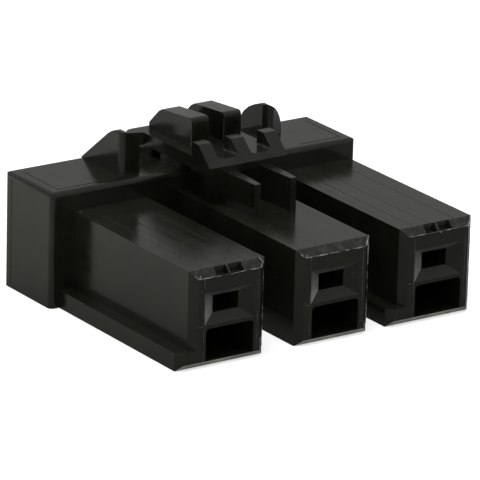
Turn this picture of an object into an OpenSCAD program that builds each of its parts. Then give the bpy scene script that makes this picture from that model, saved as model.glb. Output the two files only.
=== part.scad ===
// Single-row power connector housing, moulded in one piece, in millimetres.
// X runs along the row, -Y is the mating end, +Z is the latch side.
// The origin is on the underside of the middle silo, halfway along the housing.

/* [Housing] */
// Distance between the centres of neighbouring silos
pitch = 10; // [9.5:0.1:11]
// Length from the mating face to the wire face
length = 24.2; // [23:0.1:28]
// Depth of the rear block that joins the silos
block_depth = 7; // [6.8:0.1:7.6]
// Height of the rear block
block_h = 9.7; // [9.4:0.1:10]
// How far the block stands out past the left silo
block_left = 2.05; // [1.4:0.05:2.4]
// How far the block stands out past the right silo
block_right = 0.5; // [0.1:0.1:1]
// Radius on the block's upright and top edges
block_round = 0.45; // [0.2:0.05:0.6]

/* [Silos] */
// Width of a silo
silo_w = 7; // [6.6:0.1:7.4]
// Height of a silo
silo_h = 7.95; // [7.8:0.05:8.2]
// Chamfer round the mating face of a silo
silo_chamfer = 0.6; // [0.3:0.05:0.7]
// Chamfer along the bottom of the mating face
base_chamfer = 0.5; // [0.2:0.05:0.5]
// Height of the polarising rail on the outer silos
rail_h = 1.5; // [1.2:0.1:2]
// How far the rail stands out from the silo
rail_out = 1.2; // [0.8:0.1:1.4]

/* [Cavities] */
// Width of a terminal cavity
cavity_w = 5.2; // [4.8:0.1:5.4]
// Height of a terminal cavity
cavity_h = 6; // [5.6:0.1:6]
// Thickness of the wall behind the mating face
front_wall = 1.8; // [1.4:0.1:2.4]
// Width of the slot that the mating blade enters
slot_w = 2.4; // [2:0.1:2.8]
// Height of that slot
slot_h = 1.4; // [1.2:0.1:1.6]
// Width of the lead-in and of the opening below it
mouth_w = 4.6; // [4.2:0.1:4.7]
// Depth of the lead-in
mouth_depth = 0.62; // [0.5:0.02:0.9]

/* [Latch] */
// Width of the latch plate
latch_w = 7; // [6.8:0.1:7.4]
// Width of the finger pad at the plate's rear
pad_w = 9.5; // [8.6:0.1:10]
// Thickness of the latch plate
latch_t = 1.05; // [0.9:0.05:1.2]
// Gap between the latch plate and the block
latch_gap = 0.7; // [0.6:0.05:1.1]
// Width of the crossbar at the latch's front end
bar_w = 7.5; // [7:0.1:8]
// Height of the latch's two finger ribs above its plate
rib_h = 2.45; // [1.8:0.05:2.8]

/* [Hidden] */
$fn = 64;

front = -length / 2;              // mating face
back = length / 2;                // wire face
block_front = back - block_depth;
left = -pitch - silo_w / 2 - block_left;
right = pitch + silo_w / 2 + block_right;
cavity_z = silo_h - 1 - cavity_h; // floor of a cavity
slot_z = 4.2;                     // floor of the blade slot
mouth_z = [3.45, 6.15];           // bottom and top of the lead-in
lower_z = [0.5, 3.15];            // bottom and top of the opening below it
lower_round = 0.35;
rear_lead = 0.4;                  // lead-in of a cavity at the wire face
recess_x = [-1.25, 1.3];          // recess in the outer silos' top chamfer
recess_depth = 0.62;              // a little more than the chamfer's depth
plate_z = block_h + latch_gap;    // underside of the latch plate
plate_top = plate_z + latch_t;
plate_rise = 0.05;                // the plate climbs this much towards the bar
plate_back = back - 0.4;          // rear edge of the latch plate and its pad
pad_round = 1;                    // rounding of the pad's rear corners
stop_play = 0.12;                 // gap between the plate and its two stops
lower_depth = 10;                 // depth of the opening below the lead-in
bar_back = back - 9.2;
bar_front = back - 11.85;
rib_x = [0.73, 2.4];              // inner and outer side of a finger rib
notch_x = [0.6, 2.55];            // inner and outer side of a notch in the bar
notch_round = 0.25;
eps = 0.01;

// Solid of an [x, y] outline between two heights
module along_z(z0, z1, outline)
    translate([0, 0, z0]) linear_extrude(z1 - z0) polygon(outline);

// Solid of a [y, z] outline between two places along the row
module along_x(x0, x1, outline)
    translate([x0, 0, 0]) rotate([90, 0, 90]) linear_extrude(x1 - x0) polygon(outline);

// Solid of an [x, z] outline between two depths
module along_y(y0, y1, outline)
    translate([0, y1, 0]) rotate([90, 0, 0]) linear_extrude(y1 - y0) polygon(outline);

// Flat rectangle with rounded corners
module rounded(x0, x1, y0, y1, r) {
    translate([x0 + r, y0]) square([x1 - x0 - 2 * r, y1 - y0]);
    translate([x0, y0 + r]) square([x1 - x0, y1 - y0 - 2 * r]);
    for (x = [x0 + r, x1 - r], y = [y0 + r, y1 - r])
        translate([x, y]) circle(r);
}

// Rear block with its upright and top edges rounded
module block() intersection() {
    linear_extrude(block_h) rounded(left, right, block_front, back, block_round);
    translate([0, back + 1, 0]) rotate([90, 0, 0])
        linear_extrude(block_depth + 2) rounded(left, right, -2, block_h, block_round);
    translate([left - 1, 0, 0]) rotate([90, 0, 90])
        linear_extrude(right - left + 2) rounded(block_front, back, -2, block_h, block_round);
}

// One silo, chamfered round its mating face
module silo(x) {
    h = silo_w / 2;
    c = silo_chamfer;
    end = block_front + 1;
    translate([x, 0, 0]) intersection() {
        along_z(0, silo_h, [[-h, end], [-h, front + c], [-h + c, front],
            [h - c, front], [h, front + c], [h, end]]);
        along_x(-h, h, [[end, 0], [front + base_chamfer, 0], [front, base_chamfer],
            [front, silo_h - c], [front + c, silo_h], [end, silo_h]]);
    }
}

// Polarising rail, low on the left side of the silo centred on x
module rail(x) {
    side = x - silo_w / 2;
    end = block_front + 1;
    intersection() {
        along_z(0, rail_h, [[side - rail_out, end], [side - rail_out, front + 0.5],
            [side - rail_out + 0.5, front], [side + 1, front], [side + 1, end]]);
        along_x(side - 2, side + 1, [[end, 0], [front + base_chamfer, 0],
            [front, base_chamfer], [front, rail_h], [end, rail_h]]);
    }
}

// Everything cut out of one position, from the mating face to the wire face
module position_cuts(x) translate([x, 0, 0]) {
    m = mouth_w / 2;
    s = slot_w / 2;
    c = cavity_w / 2;
    // Lead-in that narrows to the blade slot
    intersection() {
        along_z(0, silo_h, [[-m, front - 1], [m, front - 1], [m, front],
            [s, front + mouth_depth], [-s, front + mouth_depth], [-m, front]]);
        along_x(-m, m, [[front - 1, mouth_z[0]], [front, mouth_z[0]],
            [front + mouth_depth, slot_z], [front + mouth_depth, slot_z + slot_h],
            [front, mouth_z[1]], [front - 1, mouth_z[1]]]);
    }
    translate([-s, front + mouth_depth - eps, slot_z])
        cube([slot_w, front_wall - mouth_depth + 1, slot_h]);
    // Opening below the slot, running back under the terminal
    translate([0, front + lower_depth, 0]) rotate([90, 0, 0]) linear_extrude(lower_depth + 1) {
        rounded(-m + 0.15, m, lower_z[0] + 0.5, lower_z[1], lower_round);
        translate([-m + 0.15, lower_z[0]]) square([mouth_w - 0.15, 1]);
    }
    // Behind the front wall that opening is as wide as the cavity
    translate([-c, front + front_wall, lower_z[0]])
        cube([cavity_w, lower_depth - front_wall, cavity_z - lower_z[0] + 0.1]);
    // Terminal cavity, flared at the wire face
    translate([-c, front + front_wall, cavity_z])
        cube([cavity_w, length - front_wall + 1, cavity_h]);
    intersection() {
        along_z(0, silo_h, [[-c, back - rear_lead], [c, back - rear_lead],
            [c + rear_lead, back], [c + rear_lead, back + 1],
            [-c - rear_lead, back + 1], [-c - rear_lead, back]]);
        along_x(-silo_w / 2, silo_w / 2, [[back - rear_lead, cavity_z],
            [back - rear_lead, cavity_z + cavity_h], [back, cavity_z + cavity_h + rear_lead],
            [back + 1, cavity_z + cavity_h + rear_lead], [back + 1, cavity_z - rear_lead],
            [back, cavity_z - rear_lead]]);
    }
}

// Square recess in the top chamfer of the silo centred on x
module gate_recess(x)
    translate([x + recess_x[0], front - 1, silo_h - silo_chamfer - 0.05])
        cube([recess_x[1] - recess_x[0], 1 + recess_depth, 1]);

// Latch plate with its finger pad, root and stops on the block, ribs and notched crossbar
module latch() {
    plate_end = bar_back - 0.5;
    w = latch_w / 2;
    p = pad_w / 2;
    intersection() {
        along_x(-p, p, [[plate_back, plate_z], [plate_back, plate_top],
            [plate_end, plate_top + plate_rise], [plate_end, plate_z + plate_rise]]);
        union() {
            along_z(plate_z - 1, plate_top + 1, [[-w, plate_end - 1], [w, plate_end - 1],
                [w, plate_back - 1], [-w, plate_back - 1]]);
            intersection() {
                linear_extrude(plate_top + 1)
                    rounded(-p, p, plate_back - 3.2, plate_back, pad_round);
                along_z(plate_z - 1, plate_top + 1, [[-p - 1, back], [-p - 1, back - 0.9],
                    [-w, back - 1.75], [w, back - 1.75], [p + 1, back - 0.9], [p + 1, back]]);
            }
        }
    }
    translate([-3, block_front + 0.2, block_h - 0.5])
        cube([6, 1.3, latch_gap + 0.8]);
    for (side = [-1, 1]) {
        translate([side * 2.8 - 0.45, back - 2.6, block_h - 0.5])
            cube([0.9, 2.1, latch_gap + 0.5 - stop_play]);
        along_x(side > 0 ? rib_x[0] : -rib_x[1], side > 0 ? rib_x[1] : -rib_x[0],
            [[back - 7.1, plate_top - 0.2], [back - 7.1, plate_top + rib_h - 0.4],
            [back - 7.02, plate_top + rib_h - 0.12], [back - 6.8, plate_top + rib_h],
            [back - 2.8, plate_top + rib_h - 0.35], [back - 2.3, plate_top + rib_h - 0.62],
            [back - 0.9, plate_top + 0.5], [back - 0.9, plate_top - 0.2]]);
    }
    difference() {
        along_x(-bar_w / 2, bar_w / 2, [[bar_back + 0.1, plate_z + plate_rise],
            [bar_front + 0.2, plate_top - 0.95], [bar_front, plate_top - 0.85],
            [bar_front, plate_top - 0.2], [bar_back - 0.9, plate_top + 1.35],
            [bar_back, plate_top + 1.35], [bar_back, plate_top]]);
        for (side = [-1, 1])
            translate([side * (notch_x[0] + notch_x[1]) / 2, bar_back + 1, 0])
                rotate([90, 0, 0]) linear_extrude(5)
                    rounded((notch_x[0] - notch_x[1]) / 2, (notch_x[1] - notch_x[0]) / 2,
                        plate_top + 0.25, plate_top + 4, notch_round);
    }
}

// Tall guard ear left of the latch, sloping down to the wire face
module left_ear() {
    inner = -pitch + silo_w / 2;
    outer = inner - 1.8;
    intersection() {
        along_x(outer, inner, [[back, block_h - 1], [back, block_h],
            [back - 3.9, block_h + 3.1], [back - 4.5, block_h + 3.45],
            [back - 5.1, block_h + 3.6], [back - 6, block_h + 3.6], [back - 6, block_h - 1]]);
        along_y(back - 6, back, [[outer, 0], [outer, block_h + 3.4],
            [outer + 0.2, block_h + 3.6], [outer + 0.7, block_h + 3.5],
            [inner, block_h + 2.7], [inner, 0]]);
        linear_extrude(block_h + 5)
            rounded(outer, inner + 1, back - 5.8, back + 1, 0.45);
    }
}

// Low guard ear right of the latch, its front rounded and turned away from the middle
module right_ear() {
    r = 0.6;
    inner = pitch - 2.8;
    outer = pitch - 0.45;
    intersection() {
        along_x(inner, outer, [[back, block_h - 1], [back, block_h + 0.95],
            [back - 0.5, block_h + 1.6], [back - 1.2, block_h + 2.15],
            [back - 2, block_h + 2.55], [back - 2.8, block_h + 2.82],
            [back - 3.9, block_h + 2.95], [back - 3.9, block_h - 1]]);
        along_y(back - 4, back, [[inner, 0], [inner, block_h + 2.95],
            [inner + 0.6, block_h + 2.75], [inner + 1.15, block_h + 2.38],
            [inner + 1.6, block_h + 1.92], [inner + 1.98, block_h + 1.4],
            [inner + 2.24, block_h + 0.8], [outer, block_h + 0.1], [outer, 0]]);
        along_z(block_h - 1, block_h + 4, concat(
            [for (a = [0:12.5:125]) [inner + r - r * cos(a), back - 3.1 - r * sin(a)]],
            [[outer, back - 2.6], [outer, back], [inner, back]]));
    }
}

// Two guide walls on the middle silo, in front of the crossbar, thicker at the rear
module guide_walls()
    for (side = [-1, 1])
        along_z(silo_h - 0.5, silo_h + 2.8, [[side * 1.45, back - 15.7],
            [side * 2, back - 15.7], [side * 2.2, back - 11.8], [side * 1.2, back - 11.8]]);

module housing() color([0.03, 0.03, 0.035]) difference() {
    union() {
        block();
        for (x = [-pitch, 0, pitch]) silo(x);
        for (x = [-pitch, pitch]) rail(x);
        latch();
        left_ear();
        right_ear();
        guide_walls();
    }
    for (x = [-pitch, 0, pitch]) position_cuts(x);
    for (x = [-pitch, pitch]) gate_recess(x);
}

housing();
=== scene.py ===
import math

import bpy
from mathutils import Matrix, Vector


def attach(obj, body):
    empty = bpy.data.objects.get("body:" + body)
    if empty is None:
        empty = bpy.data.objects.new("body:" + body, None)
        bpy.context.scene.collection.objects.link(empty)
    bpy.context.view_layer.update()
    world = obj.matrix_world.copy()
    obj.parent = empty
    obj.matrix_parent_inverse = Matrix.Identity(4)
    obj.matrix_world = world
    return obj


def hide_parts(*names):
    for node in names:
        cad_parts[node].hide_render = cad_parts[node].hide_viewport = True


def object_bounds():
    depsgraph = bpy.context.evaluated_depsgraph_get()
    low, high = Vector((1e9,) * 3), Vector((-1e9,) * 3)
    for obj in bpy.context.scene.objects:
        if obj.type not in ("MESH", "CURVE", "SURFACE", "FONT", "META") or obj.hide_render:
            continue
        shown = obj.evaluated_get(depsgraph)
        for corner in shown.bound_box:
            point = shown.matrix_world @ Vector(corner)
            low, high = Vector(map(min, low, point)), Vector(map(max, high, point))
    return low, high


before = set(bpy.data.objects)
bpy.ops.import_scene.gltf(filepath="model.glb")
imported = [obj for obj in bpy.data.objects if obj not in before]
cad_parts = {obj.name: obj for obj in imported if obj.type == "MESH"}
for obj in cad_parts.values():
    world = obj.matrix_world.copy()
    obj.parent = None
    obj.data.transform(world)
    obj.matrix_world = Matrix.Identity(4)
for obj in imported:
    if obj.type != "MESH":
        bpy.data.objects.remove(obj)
cad_box = [list(corner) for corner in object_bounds()]

MM = 0.001
BODY = "root"

low, high = (Vector(corner) for corner in cad_box)
front = low.y / MM
back = high.y / MM

# The housing's own sizes, in millimetres
SILO_CENTRES = (-10, 0, 10)
SILO_HALF = 3.5
SILO_TOP = 7.95
CHAMFER = 0.6
FACE_HALF = SILO_HALF - CHAMFER
FACE_TOP = SILO_TOP - CHAMFER
SHELF = 3.4
BLOCK_TOP = 9.7
BLOCK_DEPTH = 7
PLATE_TOP = 11.45
HUMP_FRONT = back - 7.1
HUMP_LEFT_SIDES = (-2.4, 0.73)

# Details finer than those, in millimetres
EDGE_RADIUS = 0.12
EDGE_STEPS = 3
SAME_POINT = 0.002
INSERT_LEFT = -2.38
INSERT_RIGHT = 2.62
TOP_LINES = (-2.1, -0.55, 1.9)
LINE_FOOT = 0.55
PANEL_INSET = 1.1
STUB_WIDTH = 0.16
STUB_HEIGHT = 0.66

# Angles, in degrees
FLAT = 1
ROUNDED_FROM = 28
SMOOTH_UP_TO = 35
RIDGE_SMOOTH_UP_TO = 40

# Finishes and painted highlights on the housing, by the place of their material in its list
MOULDED, LEAD_IN_HIGHLIGHT_SLOT, SCUFFED_HIGHLIGHT_SLOT, EDGE_HIGHLIGHT_SLOT = range(4)

# Looks of the nylon, with the scales in cycles a metre
NYLON_IOR = 1.5
BUMP_DISTANCE = 0.00001
GRAIN_SCALE = 5200
FLOW_SCALE = 420
SPECK_SCALE = 3100
DRAW_SCALE = 1900
DRAW_STRETCH = (1, 0.035, 1)
BLOTCH_SCALE = 900
LEAD_IN_TOP = 6.2

WHITE = (1, 1, 1, 1)
FLOOR_SIZE = 4
FLOOR_GAP = 0.00002


# ---------------------------------------------------------------- materials

def node_material(name):
    material = bpy.data.materials.new(name)
    material.use_nodes = True
    nodes = material.node_tree.nodes
    return material, nodes, material.node_tree.links, nodes["Principled BSDF"]


def nylon(name):
    """A nylon material, and the object's own coordinates to lay marks by."""
    material, nodes, links, shader = node_material(name)
    shader.inputs["IOR"].default_value = NYLON_IOR
    place = nodes.new("ShaderNodeTexCoord")
    return material, nodes, links, shader, place.outputs["Object"]


def noise(nodes, links, place, scale, detail):
    texture = nodes.new("ShaderNodeTexNoise")
    texture.inputs["Scale"].default_value = scale
    texture.inputs["Detail"].default_value = detail
    links.new(place, texture.inputs["Vector"])
    return texture.outputs["Fac"]


def ranged(nodes, links, value, span, result):
    """The value's span, clamped and stretched to another range."""
    step = nodes.new("ShaderNodeMapRange")
    step.inputs["From Min"].default_value, step.inputs["From Max"].default_value = span
    step.inputs["To Min"].default_value, step.inputs["To Max"].default_value = result
    links.new(value, step.inputs["Value"])
    return step.outputs["Result"]


def calculated(nodes, links, operation, first, second):
    """The operation on a value and on another value or a number."""
    step = nodes.new("ShaderNodeMath")
    step.operation = operation
    links.new(first, step.inputs[0])
    if isinstance(second, float):
        step.inputs[1].default_value = second
    else:
        links.new(second, step.inputs[1])
    return step.outputs["Value"]


def tinted(nodes, links, tone, blue):
    """A grey with a little less blue in it."""
    tint = nodes.new("ShaderNodeCombineColor")
    links.new(tone, tint.inputs["Red"])
    links.new(tone, tint.inputs["Green"])
    links.new(calculated(nodes, links, "MULTIPLY", tone, blue), tint.inputs["Blue"])
    return tint.outputs["Color"]


def bumped(nodes, links, height, strength):
    bump = nodes.new("ShaderNodeBump")
    bump.inputs["Strength"].default_value = strength
    bump.inputs["Distance"].default_value = BUMP_DISTANCE
    links.new(height, bump.inputs["Height"])
    return bump


def grained(nodes, links, place, shader, strength):
    grain = bumped(nodes, links, noise(nodes, links, place, GRAIN_SCALE, 4), strength)
    links.new(grain.outputs["Normal"], shader.inputs["Normal"])
    return grain


def moulded_black():
    """Glossy black nylon with flow marks, draw marks along the pull, grain and specks."""
    material, nodes, links, shader, place = nylon("moulded_black_nylon")
    flow = noise(nodes, links, place, FLOW_SCALE, 3)
    body = ranged(nodes, links, flow, (0.3, 0.7), (0.010, 0.018))
    speckle = noise(nodes, links, place, SPECK_SCALE, 2)
    specks = ranged(nodes, links, speckle, (0.74, 0.8), (0, 0.12))
    tone = calculated(nodes, links, "ADD", body, specks)
    links.new(tinted(nodes, links, tone, 0.72), shader.inputs["Base Color"])

    stretch = nodes.new("ShaderNodeMapping")
    stretch.inputs["Scale"].default_value = DRAW_STRETCH
    links.new(place, stretch.inputs["Vector"])
    draw = noise(nodes, links, stretch.outputs["Vector"], DRAW_SCALE, 3)
    gloss = ranged(nodes, links, draw, (0.35, 0.7), (0.13, 0.24))
    links.new(gloss, shader.inputs["Roughness"])
    marks = bumped(nodes, links, draw, 0.16)
    grain = grained(nodes, links, place, shader, 0.1)
    links.new(marks.outputs["Normal"], grain.inputs["Normal"])
    return material


def lead_in_painted_highlight():
    """The same nylon painted pale on the lead-ins and along the foot of the front: a painted
    highlight, paler towards the bottom.
    """
    material, nodes, links, shader, place = nylon("lead_in_painted_highlight_nylon")
    shader.inputs["Roughness"].default_value = 0.4
    height = nodes.new("ShaderNodeSeparateXYZ")
    links.new(place, height.inputs["Vector"])
    # Painted highlight: pale at the foot, darker towards the lead-in's top
    fade = ranged(nodes, links, height.outputs["Z"], (LEAD_IN_TOP * MM, 0), (0.12, 0.95))
    blotches = noise(nodes, links, place, BLOTCH_SCALE, 3)
    blotch = ranged(nodes, links, blotches, (0.35, 0.65), (0.6, 1))
    tone = calculated(nodes, links, "MULTIPLY", fade, blotch)
    links.new(tinted(nodes, links, tone, 0.95), shader.inputs["Base Color"])
    grained(nodes, links, place, shader, 0.2)
    return material


def dulled(name, scale, tones, roughness, strength):
    """The same nylon dulled in patches, from dark to pale by the two tones."""
    material, nodes, links, shader, place = nylon(name)
    patch = noise(nodes, links, place, scale, 3)
    tone = ranged(nodes, links, patch, (0.4, 0.66), tones)
    links.new(tinted(nodes, links, tone, 0.93), shader.inputs["Base Color"])
    links.new(ranged(nodes, links, patch, (0.4, 0.7), roughness), shader.inputs["Roughness"])
    grained(nodes, links, place, shader, strength)
    return material


BLACK = moulded_black()
LEAD_IN_HIGHLIGHT = lead_in_painted_highlight()
# Painted highlight on the rounded edges, with rougher patches
EDGE_HIGHLIGHT = dulled("edge_painted_highlight", 700, (0.014, 0.06), (0.16, 0.28), 0.1)
# Rougher patches on the top chamfers and gate stubs, their paler tone a painted highlight
SCUFFED_WITH_HIGHLIGHT = dulled("scuffed_nylon_painted_highlight", 1900, (0.018, 0.045), (0.18, 0.34), 0.2)
# Paler than the body; on the humps' edges this pale tone is a painted highlight
TOOL_LINE_AND_HIGHLIGHT = dulled("tool_line_and_highlight_nylon", 900, (0.03, 0.12), (0.25, 0.4), 0.1)
# The near-white patches on the flash are painted glints
FLASH_GLINT = dulled("moulding_flash_painted_glint", 1700, (0.05, 0.75), (0.3, 0.5), 0.2)


# ------------------------------------------------------------------- pieces

def only(obj):
    bpy.ops.object.select_all(action="DESELECT")
    obj.select_set(True)
    bpy.context.view_layer.objects.active = obj


def ride_as_plastic(obj):
    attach(obj, BODY)


def finish_or_painted_highlight_of(face):
    """Painted highlight on lead-ins and foot chamfers, scuffed patches with a painted
    highlight on top chamfers, or moulded.
    """
    normal = face.normal
    lead_in = 0.4 < normal.x < 0.6 and normal.y < -0.8
    foot = normal.y < -0.6 and normal.z < -0.6
    if lead_in or foot:
        return LEAD_IN_HIGHLIGHT_SLOT
    on_chamfer = FACE_TOP < face.center.z / MM < SILO_TOP
    top_chamfer = normal.y < -0.6 and normal.z > 0.6 and on_chamfer
    return SCUFFED_HIGHLIGHT_SLOT if top_chamfer else MOULDED


def rounded_moulding():
    """The housing with the small radius that a moulding has on every edge."""
    only(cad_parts["housing"])
    bpy.ops.object.duplicate()
    skin = bpy.context.active_object
    skin.name = "moulded_housing"
    only(skin)
    bpy.ops.object.mode_set(mode="EDIT")
    bpy.ops.mesh.select_all(action="SELECT")
    bpy.ops.mesh.remove_doubles(threshold=SAME_POINT * MM)
    bpy.ops.mesh.dissolve_limited(angle_limit=math.radians(FLAT))
    bpy.ops.object.mode_set(mode="OBJECT")
    skin.data.materials.clear()
    for material in (BLACK, LEAD_IN_HIGHLIGHT, SCUFFED_WITH_HIGHLIGHT, EDGE_HIGHLIGHT):
        skin.data.materials.append(material)
    for face in skin.data.polygons:
        face.material_index = finish_or_painted_highlight_of(face)
    bevel = skin.modifiers.new("edge_radius", "BEVEL")
    bevel.width = EDGE_RADIUS * MM
    bevel.segments = EDGE_STEPS
    bevel.limit_method = "ANGLE"
    bevel.angle_limit = math.radians(ROUNDED_FROM)
    bevel.use_clamp_overlap = True
    # Every rounded edge gets the painted edge highlight
    bevel.material = EDGE_HIGHLIGHT_SLOT
    bpy.ops.object.modifier_apply(modifier="edge_radius")
    bpy.ops.object.shade_smooth_by_angle(angle=math.radians(SMOOTH_UP_TO))
    level = skin.modifiers.new("flat_faces", "WEIGHTED_NORMAL")
    level.mode = "FACE_AREA"
    level.weight = 50
    level.keep_sharp = True
    bpy.ops.object.modifier_apply(modifier="flat_faces")
    return skin


def unit_cube():
    bpy.ops.object.select_all(action="DESELECT")
    bpy.ops.mesh.primitive_cube_add(size=1, location=(0, 0, 0))
    return bpy.context.active_object


def edit_edges(obj, wanted):
    """Go into edit mode with only the edges selected whose two ends are wanted."""
    bpy.ops.object.mode_set(mode="EDIT")
    bpy.ops.mesh.select_mode(type="EDGE")
    bpy.ops.mesh.select_all(action="DESELECT")
    bpy.ops.object.mode_set(mode="OBJECT")
    for edge in obj.data.edges:
        first, second = (obj.data.vertices[i].co for i in edge.vertices)
        edge.select = wanted(first, second)
    bpy.ops.object.mode_set(mode="EDIT")


def plain_ridge():
    """A ridge of unit size with a rounded crest, to be copied and stretched."""
    ridge = unit_cube()
    edit_edges(ridge, lambda first, second: abs(first.y - second.y) > 0.5)
    bpy.ops.mesh.subdivide(number_cuts=15)
    bpy.ops.object.mode_set(mode="OBJECT")
    edit_edges(ridge, lambda first, second: (min(first.z, second.z) > 0.4
                                             and abs(first.x - second.x) < 0.1))
    bpy.ops.mesh.bevel(offset=0.3, segments=2)
    bpy.ops.object.mode_set(mode="OBJECT")
    return ridge


def ridge_copy(ridge, start, end, out, width, height, ragged, seed):
    """A copy of the ridge from start to end, in millimetres, its crest facing out."""
    only(ridge)
    bpy.ops.object.duplicate()
    copy = bpy.context.active_object
    start, end = Vector(start) * MM, Vector(end) * MM
    along = (end - start).normalized()
    out = Vector(out).normalized()
    across = along.cross(out).normalized()
    turn = Matrix((across, along, across.cross(along))).transposed().to_4x4()
    size = Matrix.Diagonal((width * MM, (end - start).length, height * MM, 1))
    copy.matrix_world = Matrix.Translation((start + end) / 2) @ turn @ size
    bpy.ops.object.transform_apply(location=True, rotation=True, scale=True)
    if ragged:
        bpy.ops.object.mode_set(mode="EDIT")
        bpy.ops.mesh.select_all(action="SELECT")
        bpy.ops.transform.vertex_random(offset=ragged * MM, uniform=1, seed=seed)
        bpy.ops.object.mode_set(mode="OBJECT")
    return copy


def joined(name, parts, material):
    only(parts[0])
    for part in parts:
        part.select_set(True)
    bpy.ops.object.join()
    whole = bpy.context.active_object
    whole.name = name
    whole.data.materials.clear()
    whole.data.materials.append(material)
    bpy.ops.object.shade_smooth_by_angle(angle=math.radians(RIDGE_SMOOTH_UP_TO))
    ride_as_plastic(whole)
    return whole


def mould_lines_and_hump_highlights(ridge):
    """Lines that the tool's inserts leave on each mating face, and pale lines on the humps'
    edges that are painted highlights.
    """
    forward = (0, -1, 0)
    line_top = FACE_TOP - 0.05
    parts = []
    for x in SILO_CENTRES:
        lines = [((x + side, front, LINE_FOOT), (x + side, front, line_top))
                 for side in (INSERT_LEFT, INSERT_RIGHT)]
        lines.append(((x - FACE_HALF, front, SHELF), (x - 2.42, front, SHELF)))
        for start, end in lines:
            parts.append(ridge_copy(ridge, start, end, forward, 0.07, 0.05, 0.006, len(parts)))
    # Painted highlights on the humps' front-left edges
    for x in HUMP_LEFT_SIDES:
        foot = (x, HUMP_FRONT, PLATE_TOP + 0.15)
        top = (x, HUMP_FRONT, PLATE_TOP + 1.95)
        parts.append(ridge_copy(ridge, foot, top, (-1, -1, 0), 0.06, 0.06, 0.01, len(parts)))
    return joined("mould_lines_and_hump_highlights", parts, TOOL_LINE_AND_HIGHLIGHT)


def draw_marks(ridge):
    """Fine lines along the tops of the outer silos and round the block's panels."""
    up, aside = (0, 0, 1), (-1, 0, 0)
    parts = []
    for x in (SILO_CENTRES[0], SILO_CENTRES[2]):
        for inset in TOP_LINES:
            start = (x + inset, front + 0.75, SILO_TOP)
            end = (x + inset, back - BLOCK_DEPTH, SILO_TOP)
            parts.append(ridge_copy(ridge, start, end, up, 0.06, 0.03, 0, 0))
    left, right = low.x / MM, high.x / MM
    rear, fore = back - 1.2, back - BLOCK_DEPTH + 0.85
    inner_left, inner_right, seam = left + PANEL_INSET, right - 1, back - 0.95
    panels = (((inner_left, rear, BLOCK_TOP), (inner_left, fore, BLOCK_TOP), up),
              ((inner_left, fore, BLOCK_TOP), (left + 6.6, fore, BLOCK_TOP), up),
              ((inner_right, rear, BLOCK_TOP), (inner_right, fore, BLOCK_TOP), up),
              ((right - 5, fore, BLOCK_TOP), (inner_right, fore, BLOCK_TOP), up),
              ((left, seam, 0.3), (left, seam, BLOCK_TOP - 0.5), aside))
    for start, end, out in panels:
        parts.append(ridge_copy(ridge, start, end, out, 0.1, 0.06, 0, 0))
    return joined("draw_marks", parts, BLACK)


def edge_flash_with_glint(ridge):
    """Ragged flash on the front's top edge and corners, and on the right edge, coloured pale
    as a painted glint.
    """
    ragged = 0.02
    parts = []
    for x in SILO_CENTRES:
        corner = (x + FACE_HALF, front, FACE_TOP)
        shoulder = (x + SILO_HALF, front + CHAMFER, SILO_TOP)
        left = (x - FACE_HALF, front, FACE_TOP)
        strokes = ((left, corner, (0, -1, 0.4), 0.05, 0.07),
                   (corner, shoulder, (0.4, -1, 0.4), 0.09, 0.1),
                   ((x + SILO_HALF, front + CHAMFER, 0.6), shoulder, (1, -1, 0), 0.05, 0.05),
                   (left, (x - FACE_HALF - 0.3, front + 0.3, FACE_TOP + 0.3), (-0.4, -1, 0.4),
                    0.06, 0.07),
                   (left, (x - FACE_HALF + 0.25, front + 0.2, FACE_TOP + 0.2), (0, -1, 0.6),
                    0.05, 0.06),
                   ((x + 0.1, front, FACE_TOP - 0.12), (x + 0.45, front, FACE_TOP + 0.02),
                    (0, -1, 0), 0.07, 0.07))
        finer = 1 if x == 0 else 0.7
        for start, end, out, width, height in strokes:
            parts.append(ridge_copy(ridge, start, end, out, width * finer, height * finer,
                                    ragged, len(parts)))
    curl = Vector((SILO_CENTRES[0] + FACE_HALF + 0.3, front + 0.3, FACE_TOP + 0.32))
    parts.append(ridge_copy(ridge, curl, curl + Vector((-0.25, 0.1, 0.35)), (0, -1, 0),
                            0.07, 0.07, ragged, len(parts)))
    return joined("edge_flash_with_glint", parts, FLASH_GLINT)


def gate_stubs():
    """A thin trimmed stub in the gate recess of each outer silo."""
    depth = CHAMFER + 0.02
    middle = Vector((0.02, front + depth / 2, FACE_TOP + 0.27)) * MM
    stub = unit_cube()
    stub.matrix_world = (Matrix.Translation(middle)
                         @ Matrix.Diagonal((STUB_WIDTH * MM, depth * MM, STUB_HEIGHT * MM, 1)))
    bpy.ops.object.transform_apply(location=True, rotation=True, scale=True)
    bpy.ops.object.mode_set(mode="EDIT")
    bpy.ops.mesh.select_all(action="SELECT")
    bpy.ops.mesh.bisect(plane_co=Vector((0, front, FACE_TOP)) * MM,
                        plane_no=Vector((0.35, -1, 1)).normalized(), use_fill=True,
                        clear_outer=True)
    bpy.ops.mesh.select_all(action="SELECT")
    bpy.ops.mesh.bevel(offset=0.02 * MM, segments=2)
    bpy.ops.object.mode_set(mode="OBJECT")
    stub.location.x = SILO_CENTRES[0] * MM
    bpy.ops.object.transform_apply(location=True, rotation=False, scale=False)
    bpy.ops.object.duplicate()
    twin = bpy.context.active_object
    twin.location.x = (SILO_CENTRES[2] - SILO_CENTRES[0]) * MM
    bpy.ops.object.transform_apply(location=True, rotation=False, scale=False)
    parts = [stub, twin]
    # The stubs' pale tone is a painted highlight
    return joined("gate_stubs", parts, SCUFFED_WITH_HIGHLIGHT)


skin = rounded_moulding()
ride_as_plastic(skin)
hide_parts("housing")

ridge = plain_ridge()
mould_lines_and_hump_highlights(ridge)
draw_marks(ridge)
edge_flash_with_glint(ridge)
bpy.data.objects.remove(ridge)
gate_stubs()


# ----------------------------------------------------- floor, light, camera

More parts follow.
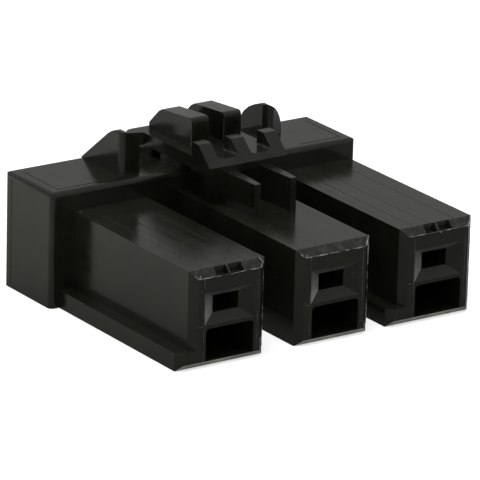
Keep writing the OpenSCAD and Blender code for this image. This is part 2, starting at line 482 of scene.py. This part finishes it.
def floor():
    bpy.ops.object.select_all(action="DESELECT")
    bpy.ops.mesh.primitive_plane_add(size=FLOOR_SIZE, location=(0, 0, low.z - FLOOR_GAP))
    plane = bpy.context.active_object
    plane.name = "floor"
    material, nodes, links, shader = node_material("pale_floor_painted_shadow")
    # In reflections the floor has a painted shadow beside the housing's left and in front of
    # it
    place = nodes.new("ShaderNodeTexCoord")
    split = nodes.new("ShaderNodeSeparateXYZ")
    links.new(place.outputs["Object"], split.inputs["Vector"])
    painted_shadow_beside = ranged(nodes, links, split.outputs["X"], (-0.015, -0.032), (0.41, 0.66))
    # Painted shadow in front of the housing
    before = ranged(nodes, links, split.outputs["Y"], (-0.018, 0.016), (0.8, 1.2))
    # The floor's grey carries both painted shadows
    grey = calculated(nodes, links, "MULTIPLY", painted_shadow_beside, before)
    links.new(tinted(nodes, links, grey, 0.94), shader.inputs["Base Color"])
    shader.inputs["Roughness"].default_value = 0.9
    shader.inputs["Specular IOR Level"].default_value = 0.0
    # Seen directly the floor is white, with the object's shadow left in
    white = nodes.new("ShaderNodeBsdfDiffuse")
    white.inputs["Color"].default_value = WHITE
    glow = nodes.new("ShaderNodeEmission")
    glow.inputs["Color"].default_value = WHITE
    glow.inputs["Strength"].default_value = 0.55
    lit = nodes.new("ShaderNodeAddShader")
    links.new(white.outputs["BSDF"], lit.inputs[0])
    links.new(glow.outputs["Emission"], lit.inputs[1])
    path = nodes.new("ShaderNodeLightPath")
    mix = nodes.new("ShaderNodeMixShader")
    links.new(path.outputs["Is Camera Ray"], mix.inputs["Fac"])
    links.new(shader.outputs["BSDF"], mix.inputs[1])
    links.new(lit.outputs["Shader"], mix.inputs[2])
    links.new(mix.outputs["Shader"], nodes["Material Output"].inputs["Surface"])
    plane.data.materials.append(material)


def studio():
    world = bpy.data.worlds.new("studio")
    bpy.context.scene.world = world
    world.use_nodes = True
    nodes, links = world.node_tree.nodes, world.node_tree.links
    background = nodes["Background"]
    background.inputs["Strength"].default_value = 1
    # The room is dimmer at eye level than overhead
    way = nodes.new("ShaderNodeTexCoord")
    split = nodes.new("ShaderNodeSeparateXYZ")
    links.new(way.outputs["Generated"], split.inputs["Vector"])
    level = ranged(nodes, links, split.outputs["Z"], (0.2, 1), (0.35, 0.41))
    links.new(level, background.inputs["Color"])
    seen = nodes.new("ShaderNodeBackground")
    seen.inputs["Color"].default_value = WHITE
    seen.inputs["Strength"].default_value = 1
    path = nodes.new("ShaderNodeLightPath")
    mix = nodes.new("ShaderNodeMixShader")
    links.new(path.outputs["Is Camera Ray"], mix.inputs["Fac"])
    links.new(background.outputs["Background"], mix.inputs[1])
    links.new(seen.outputs["Background"], mix.inputs[2])
    links.new(mix.outputs["Shader"], nodes["World Output"].inputs["Surface"])


def softbox(name, place, target, size, power):
    data = bpy.data.lights.new(name, "AREA")
    data.shape = "RECTANGLE"
    data.size, data.size_y = size
    data.energy = power
    lamp = bpy.data.objects.new(name, data)
    bpy.context.scene.collection.objects.link(lamp)
    lamp.location = place
    lamp.rotation_euler = (Vector(target) - Vector(place)).to_track_quat("-Z", "Y").to_euler()


def camera():
    azimuth, elevation, roll = (math.radians(a) for a in (-34.654, 19.108, 1.556))
    data = bpy.data.cameras.new("camera")
    data.sensor_width = 36
    data.lens = 375.5
    data.clip_start = 0.01
    data.clip_end = 20
    eye = bpy.data.objects.new("camera", data)
    bpy.context.scene.collection.objects.link(eye)
    back_way = Vector((math.sin(azimuth) * math.cos(elevation),
                       -math.cos(azimuth) * math.cos(elevation), math.sin(elevation)))
    aim = Vector((-0.908, front + 12.0, 4.907)) * MM
    distance = 0.40162
    turn = (Matrix.Rotation(azimuth, 4, "Z") @ Matrix.Rotation(math.pi / 2 - elevation, 4, "X")
            @ Matrix.Rotation(roll, 4, "Z"))
    eye.matrix_world = Matrix.Translation(aim + back_way * distance) @ turn
    bpy.context.scene.camera = eye


floor()
studio()
softbox("overhead", (-0.1, -0.05, 0.6), (0, 0, 0), (0.3, 0.3), 1.4)
camera()

bpy.context.scene.view_settings.view_transform = "Standard"
